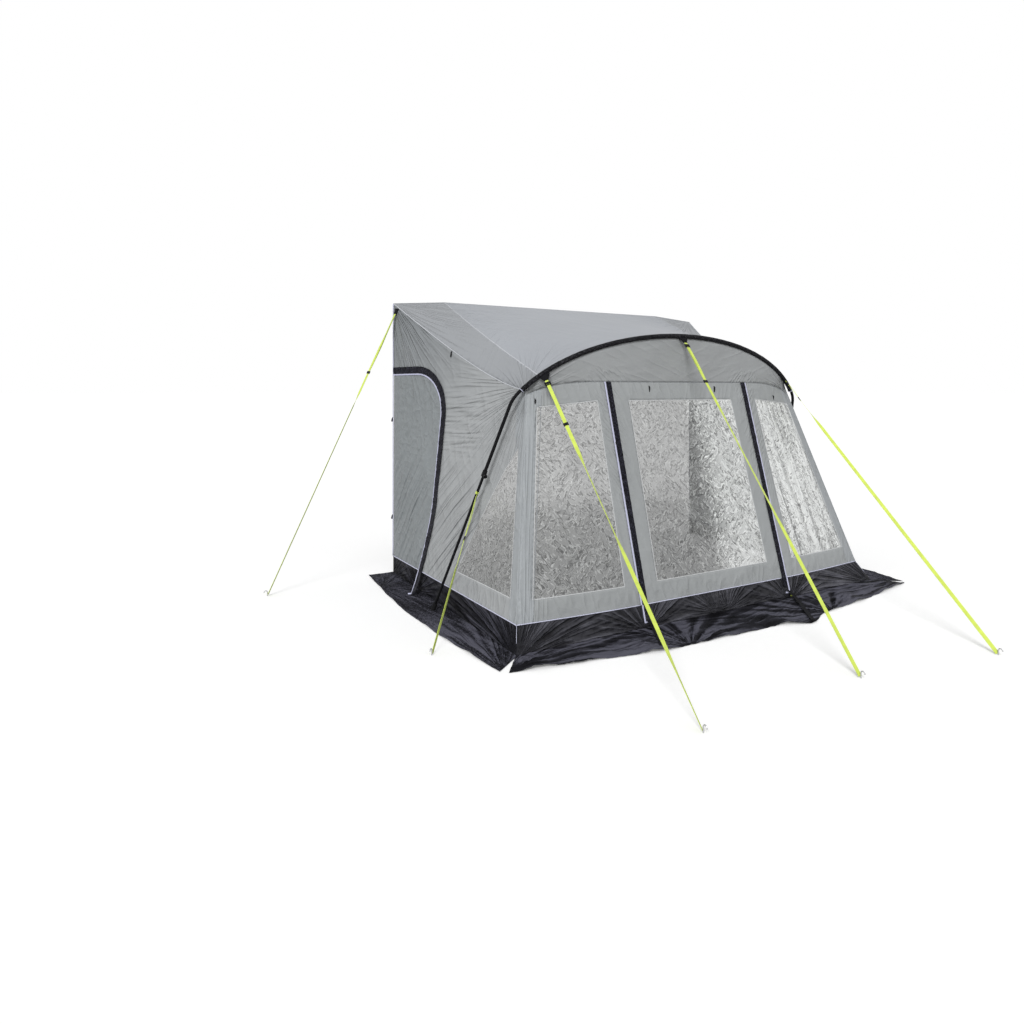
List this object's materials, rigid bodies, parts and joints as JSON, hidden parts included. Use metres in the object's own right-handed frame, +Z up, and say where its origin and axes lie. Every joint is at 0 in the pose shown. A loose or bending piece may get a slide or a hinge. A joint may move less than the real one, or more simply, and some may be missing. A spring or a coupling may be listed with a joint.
{
  "type": "caravan porch awning",
  "caption": "Caravan porch awning on an arched front pole with telescopic legs, roll-up front panel, zipped side doors, mud walls, ground skirt and webbing guy lines.",
  "frame": {"origin": "on the ground, at the middle of the ground plan: halfway along the caravan side and halfway from the caravan's wall to the front hem of the skirt", "axes": "+X along the caravan, to the right as seen from the front; +Y towards the caravan; +Z up"},
  "size_m": [5.0641, 3.7598, 2.5035],
  "materials": {
    "roof_cloth": "coated polyester, satin",
    "wall_cloth": "coated polyester, matt",
    "dark_cloth": "heavy coated cloth, matt",
    "window_film": "clear soft film, creased",
    "black_tube": "black powder coat",
    "black_plastic": "moulded, satin",
    "rubber_foot": "matt",
    "bead_strip": "smooth",
    "zip_metal": "plated",
    "guy_webbing": "woven webbing",
    "peg_steel": "plated"
  },
  "bodies": {
    "awning": {"roof_panel": "roof_cloth", "roof_shoulder_left": "roof_cloth", "roof_shoulder_right": "roof_cloth", "front_panel_left": "wall_cloth", "front_panel_right": "wall_cloth", "header_panel": "wall_cloth", "side_wall_left": "wall_cloth", "side_wall_right": "wall_cloth", "front_window_left": "window_film", "front_window_right": "window_film", "side_window_left": "window_film", "side_window_right": "window_film", "mud_wall_front": "dark_cloth", "mud_wall_left": "dark_cloth", "mud_wall_right": "dark_cloth", "skirt_left": "dark_cloth", "skirt_right": "dark_cloth", "skirt_front": "dark_cloth", "arch_sleeve": "dark_cloth", "rail_bead": "bead_strip", "arch_crown": "black_tube", "arch_elbow_left": "black_tube", "arch_elbow_right": "black_tube", "leg_upper_left": "black_tube", "leg_upper_right": "black_tube", "rafter_outer_left": "black_tube", "rafter_outer_right": "black_tube", "leg_clamp_left": "black_plastic", "leg_clamp_right": "black_plastic", "guy_front_left": "guy_webbing", "guy_front_centre": "guy_webbing", "guy_front_right": "guy_webbing", "guy_leg_left": "guy_webbing", "guy_rear_left": "guy_webbing", "peg_front_left": "peg_steel", "peg_front_centre": "peg_steel", "peg_front_right": "peg_steel", "peg_leg_left": "peg_steel", "peg_rear_left": "peg_steel"},
    "roll_up_front": {"centre_panel": "wall_cloth", "centre_window": "window_film"},
    "side_door_left": {"door_left": "wall_cloth"},
    "side_door_right": {"door_right": "wall_cloth"},
    "front_slider_left": {"zip_slider_front_left": "zip_metal"},
    "front_slider_right": {"zip_slider_front_right": "zip_metal"},
    "door_slider_left": {"zip_slider_door_left": "zip_metal"},
    "door_slider_right": {"zip_slider_door_right": "zip_metal"},
    "leg_extension_left": {"leg_lower_left": "black_tube", "foot_left": "rubber_foot"},
    "leg_extension_right": {"leg_lower_right": "black_tube", "foot_right": "rubber_foot"},
    "knob_left": {"clamp_knob_left": "black_plastic"},
    "knob_right": {"clamp_knob_right": "black_plastic"},
    "rafter_extension_left": {"rafter_inner_left": "black_tube"},
    "rafter_extension_right": {"rafter_inner_right": "black_tube"},
    "runner_front_left": {"guy_runner_front_left": "black_plastic"},
    "runner_front_centre": {"guy_runner_front_centre": "black_plastic"},
    "runner_front_right": {"guy_runner_front_right": "black_plastic"},
    "runner_leg_left": {"guy_runner_leg_left": "black_plastic"},
    "runner_rear_left": {"guy_runner_rear_left": "black_plastic"}
  },
  "joints": [
    {"name": "front_panel_roll_up", "type": "hinge", "parent": "awning", "child": "roll_up_front", "pos_m": [0, -0.45852, 1.73], "axis": [1, 0, 0], "range_deg": [0, 95]},
    {"name": "side_door_left_swing", "type": "hinge", "parent": "awning", "child": "side_door_left", "pos_m": [-1.805, 1.32692, 0.15], "axis": [0, 0, -1], "range_deg": [0, 70]},
    {"name": "side_door_right_swing", "type": "hinge", "parent": "awning", "child": "side_door_right", "pos_m": [1.805, 1.32692, 0.15], "axis": [0, 0, 1], "range_deg": [0, 70]},
    {"name": "front_zip_left", "type": "slide", "parent": "awning", "child": "front_slider_left", "axis": [0, 0.2625, 0.9649], "range_m": [-1.05, 0.4]},
    {"name": "front_zip_right", "type": "slide", "parent": "awning", "child": "front_slider_right", "axis": [0, 0.2625, 0.9649], "range_m": [-1.05, 0.4]},
    {"name": "door_zip_left", "type": "slide", "parent": "side_door_left", "child": "door_slider_left", "axis": [0.1027, 0, 0.9947], "range_m": [-0.3, 0.3]},
    {"name": "door_zip_right", "type": "slide", "parent": "side_door_right", "child": "door_slider_right", "axis": [-0.1027, 0, 0.9947], "range_m": [-0.3, 0.3]},
    {"name": "leg_height_left", "type": "slide", "parent": "awning", "child": "leg_extension_left", "axis": [0.2346, -0.2946, 0.9264], "range_m": [0, 0.2]},
    {"name": "leg_height_right", "type": "slide", "parent": "awning", "child": "leg_extension_right", "axis": [-0.2346, -0.2946, 0.9264], "range_m": [0, 0.2]},
    {"name": "clamp_knob_left", "type": "hinge", "parent": "awning", "child": "knob_left", "pos_m": [-1.63554, -0.18221, 1.04446], "axis": [-0.0723, -0.9556, -0.2856], "range_deg": [-180, 180]},
    {"name": "clamp_knob_right", "type": "hinge", "parent": "awning", "child": "knob_right", "pos_m": [1.63554, -0.18221, 1.04446], "axis": [0.0723, -0.9556, -0.2856], "range_deg": [-180, 180]},
    {"name": "rafter_length_left", "type": "slide", "parent": "awning", "child": "rafter_extension_left", "axis": [0, 0.9711, 0.2388], "range_m": [-0.15, 0.05]},
    {"name": "rafter_length_right", "type": "slide", "parent": "awning", "child": "rafter_extension_right", "axis": [0, 0.9711, 0.2388], "range_m": [-0.15, 0.05]},
    {"name": "runner_front_left_slide", "type": "slide", "parent": "awning", "child": "runner_front_left", "axis": [-0.0708, -0.7057, -0.705], "range_m": [-0.14, 0.14]},
    {"name": "runner_front_centre_slide", "type": "slide", "parent": "awning", "child": "runner_front_centre", "axis": [-0.0633, -0.6196, -0.7824], "range_m": [-0.14, 0.14]},
    {"name": "runner_front_right_slide", "type": "slide", "parent": "awning", "child": "runner_front_right", "axis": [-0.1415, -0.7312, -0.6673], "range_m": [-0.14, 0.14]},
    {"name": "runner_leg_left_slide", "type": "slide", "parent": "awning", "child": "runner_leg_left", "axis": [-0.4773, -0.4374, -0.7622], "range_m": [-0.14, 0.14]},
    {"name": "runner_rear_left_slide", "type": "slide", "parent": "awning", "child": "runner_rear_left", "axis": [-0.4309, -0.06, -0.9004], "range_m": [-0.14, 0.14]}
  ]
}
